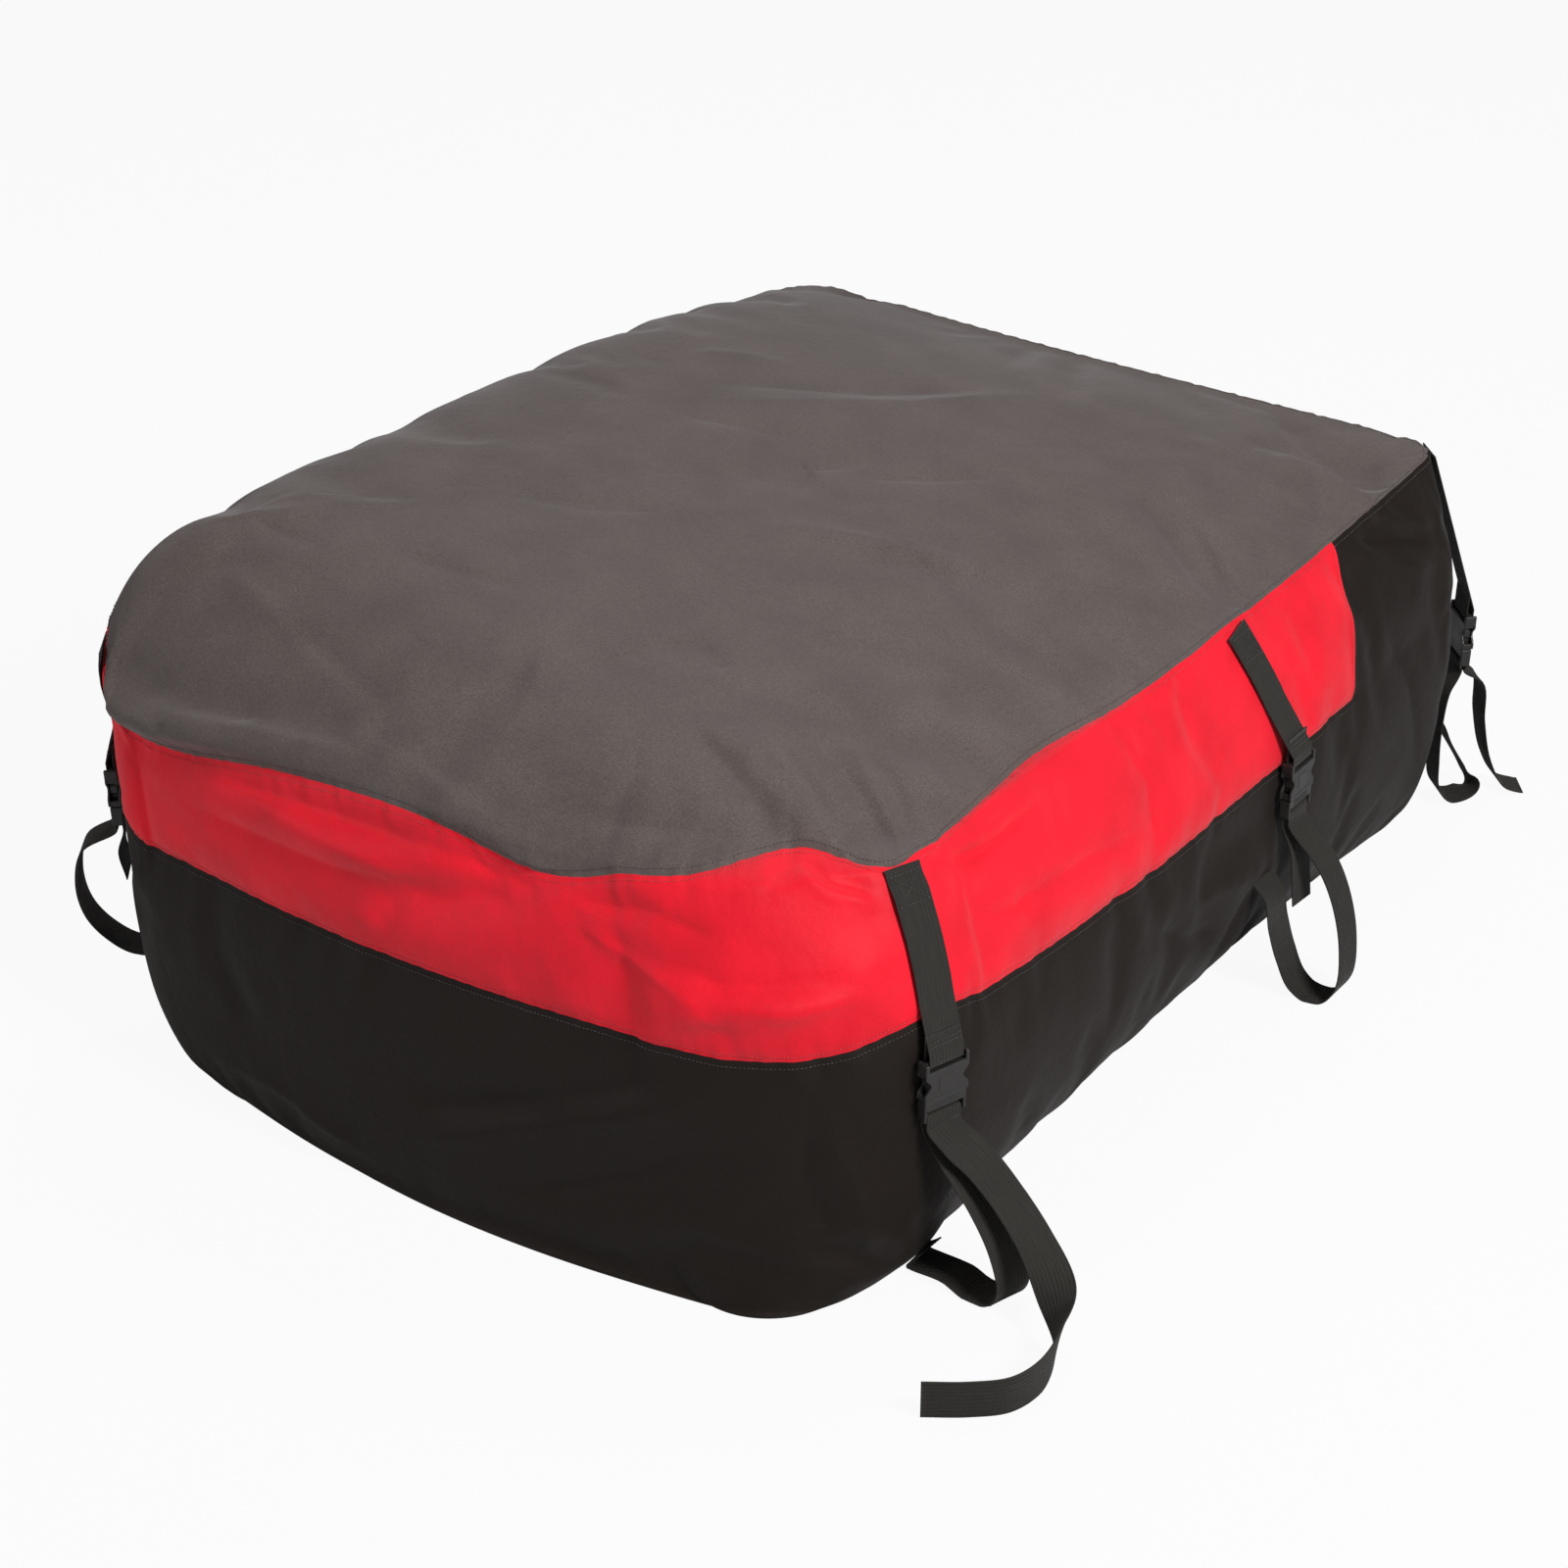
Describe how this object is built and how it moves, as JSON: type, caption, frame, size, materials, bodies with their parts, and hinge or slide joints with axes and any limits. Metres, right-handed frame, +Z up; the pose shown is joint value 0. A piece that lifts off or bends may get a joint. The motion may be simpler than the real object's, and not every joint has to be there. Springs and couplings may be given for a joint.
{
  "type": "roof cargo bag",
  "caption": "Soft roof cargo bag, packed full: domed top, contrast band, zipped rear, and webbing straps with side-release buckles and hanging tails.",
  "frame": {"origin": "on the flat underside, at the middle of the base panel", "axes": "+Z up, the front at -Y, the bag's right side at +X"},
  "size_m": [1.1131, 1.3502, 0.5402],
  "materials": {
    "top_cloth": "coated woven polyester, matt, dark warm grey",
    "side_cloth": "coated woven polyester, matt, near black",
    "band_cloth": "coated woven polyester, matt, bright red",
    "webbing": "ribbed polypropylene webbing, dark grey",
    "buckle_plastic": "moulded acetal, fine satin texture, black",
    "zip_tape": "woven zip tape with a nylon coil, black",
    "zip_metal": "black-coated die-cast zinc"
  },
  "bodies": {
    "root": {"bag_body": "top_cloth", "red_band": "band_cloth", "top_web_front_right": "webbing", "buckle_socket_front_right": "buckle_plastic", "tie_web_front_right": "webbing", "top_web_middle_right": "webbing", "buckle_socket_middle_right": "buckle_plastic", "tie_web_middle_right": "webbing", "top_web_rear_right": "webbing", "buckle_socket_rear_right": "buckle_plastic", "tie_web_rear_right": "webbing", "top_web_rear_left": "webbing", "buckle_socket_rear_left": "buckle_plastic", "tie_web_rear_left": "webbing", "top_web_middle_left": "webbing", "buckle_socket_middle_left": "buckle_plastic", "tie_web_middle_left": "webbing", "top_web_front_left": "webbing", "buckle_socket_front_left": "buckle_plastic", "tie_web_front_left": "webbing", "rear_zip": "zip_tape", "rain_flap": "side_cloth"},
    "plug_front_right": {"buckle_plug_front_right": "buckle_plastic"},
    "plug_middle_right": {"buckle_plug_middle_right": "buckle_plastic"},
    "plug_rear_right": {"buckle_plug_rear_right": "buckle_plastic"},
    "plug_rear_left": {"buckle_plug_rear_left": "buckle_plastic"},
    "plug_middle_left": {"buckle_plug_middle_left": "buckle_plastic"},
    "plug_front_left": {"buckle_plug_front_left": "buckle_plastic"},
    "slider_left": {"zip_slider_left": "zip_metal"},
    "pull_left": {"zip_pull_left": "zip_metal"},
    "slider_right": {"zip_slider_right": "zip_metal"},
    "pull_right": {"zip_pull_right": "zip_metal"}
  },
  "joints": [
    {"name": "release_front_right", "type": "slide", "parent": "root", "child": "plug_front_right", "axis": [-0.0269, 0.0087, -0.9996], "range_m": [0, 0.026], "deforming": ["tie_web_front_right"]},
    {"name": "release_middle_right", "type": "slide", "parent": "root", "child": "plug_middle_right", "axis": [-0.0023, 0, -1], "range_m": [0, 0.026], "deforming": ["tie_web_middle_right"]},
    {"name": "release_rear_right", "type": "slide", "parent": "root", "child": "plug_rear_right", "axis": [-0.0196, -0.0196, -0.9996], "range_m": [0, 0.026], "deforming": ["tie_web_rear_right"]},
    {"name": "release_rear_left", "type": "slide", "parent": "root", "child": "plug_rear_left", "axis": [0.0264, -0.0264, -0.9993], "range_m": [0, 0.026], "deforming": ["tie_web_rear_left"]},
    {"name": "release_middle_left", "type": "slide", "parent": "root", "child": "plug_middle_left", "axis": [0.0123, 0, -0.9999], "range_m": [0, 0.026], "deforming": ["tie_web_middle_left"]},
    {"name": "release_front_left", "type": "slide", "parent": "root", "child": "plug_front_left", "axis": [0.0316, 0.0222, -0.9993], "range_m": [0, 0.026], "deforming": ["tie_web_front_left"]},
    {"name": "zip_left", "type": "slide", "parent": "root", "child": "slider_left", "axis": [-1, 0, 0], "range_m": [0, 0.24]},
    {"name": "pull_flip_left", "type": "hinge", "parent": "slider_left", "child": "pull_left", "pos_m": [-0.0285, 0.63183, 0.352], "axis": [0, 0, -1], "range_deg": [0, 150]},
    {"name": "zip_right", "type": "slide", "parent": "root", "child": "slider_right", "axis": [1, 0, 0], "range_m": [0, 0.24]},
    {"name": "pull_flip_right", "type": "hinge", "parent": "slider_right", "child": "pull_right", "pos_m": [-0.0065, 0.63183, 0.352], "axis": [0, 0, 1], "range_deg": [0, 150]}
  ]
}
